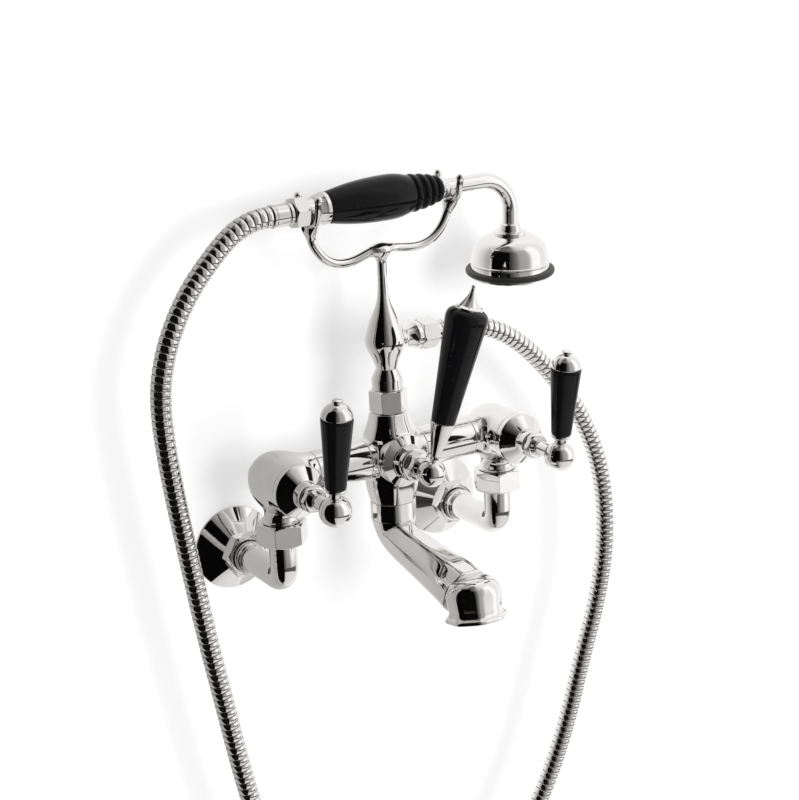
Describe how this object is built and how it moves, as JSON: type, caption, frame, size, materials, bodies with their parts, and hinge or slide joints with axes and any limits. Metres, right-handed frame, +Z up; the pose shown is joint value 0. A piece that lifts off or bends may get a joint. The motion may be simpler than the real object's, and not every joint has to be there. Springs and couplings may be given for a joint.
{
  "type": "wall mounted bath faucet with hand shower",
  "caption": "Exposed wall mounted bath filler with lever valves, octagonal spout, lever diverter and a hand shower that rests on a cradle, with a chromed hose.",
  "frame": {"origin": "on the wall plane, midway between the two inlet pipes", "axes": "+X to the user's right, +Y into the wall along the inlets, +Z up"},
  "size_m": [0.4246, 0.2474, 0.6792],
  "materials": {
    "chrome": "polished",
    "hose": "polished",
    "black_grip": "gloss",
    "black_rubber": "satin",
    "seal": "matte",
    "ceramic": "satin",
    "brass": "machined"
  },
  "bodies": {
    "root": {"centre_body": "chrome", "diverter_bonnet": "chrome", "diverter_cartridge": "brass", "diverter_gland_nut": "chrome", "fixed_discs": "ceramic", "flow_straightener": "chrome", "hose": "hose", "hose_outlet_ferrule": "chrome", "hose_outlet_nut": "chrome", "hose_outlet_washer": "seal", "left_bonnet_cover": "chrome", "left_cartridge": "brass", "left_cross_tube": "chrome", "left_gland_nut": "chrome", "left_inlet_elbow": "chrome", "left_inlet_tail": "brass", "left_tail_nut": "chrome", "left_union_nut": "chrome", "left_valve_body": "chrome", "left_wall_flange": "chrome", "right_bonnet_cover": "chrome", "right_cartridge": "brass", "right_cross_tube": "chrome", "right_gland_nut": "chrome", "right_inlet_elbow": "chrome", "right_inlet_tail": "brass", "right_tail_nut": "chrome", "right_union_nut": "chrome", "right_valve_body": "chrome", "right_wall_flange": "chrome", "riser_cradle": "chrome", "riser_nut": "chrome", "spout": "chrome", "spout_collar": "chrome", "union_washers": "seal"},
    "lever_left": {"left_spindle": "chrome", "left_turning_disc": "ceramic", "left_lever_hub": "chrome", "left_lever_grip": "black_grip", "left_lever_cap": "chrome"},
    "lever_right": {"right_spindle": "chrome", "right_turning_disc": "ceramic", "right_lever_hub": "chrome", "right_lever_grip": "black_grip", "right_lever_cap": "chrome"},
    "diverter": {"diverter_spindle": "chrome", "diverter_disc": "ceramic", "diverter_hub": "chrome", "diverter_ferrule": "chrome", "diverter_grip": "black_grip", "diverter_finial": "chrome"},
    "handset": {"handset_collar": "chrome", "handset_grip": "black_grip", "handset_tube": "chrome", "rose_shell": "chrome", "rose_ring": "black_rubber", "spray_plate": "chrome", "hose_handset_washer": "seal", "hose_handset_ferrule": "chrome", "hose_handset_nut": "chrome"}
  },
  "joints": [
    {"name": "lever_left_turn", "type": "hinge", "parent": "root", "child": "lever_left", "pos_m": [-0.1016, -0.1808, 0.0835], "axis": [0, -1, 0], "range_deg": [0, 90]},
    {"name": "lever_right_turn", "type": "hinge", "parent": "root", "child": "lever_right", "pos_m": [0.1016, -0.1808, 0.0835], "axis": [0, 1, 0], "range_deg": [0, 90]},
    {"name": "diverter_turn", "type": "hinge", "parent": "root", "child": "diverter", "pos_m": [0, -0.152, 0.0835], "axis": [0, 1, 0], "range_deg": [-45, 21]},
    {"name": "handset_lift", "type": "slide", "parent": "root", "child": "handset", "axis": [0, 0, 1], "range_m": [0, 0.05]}
  ]
}
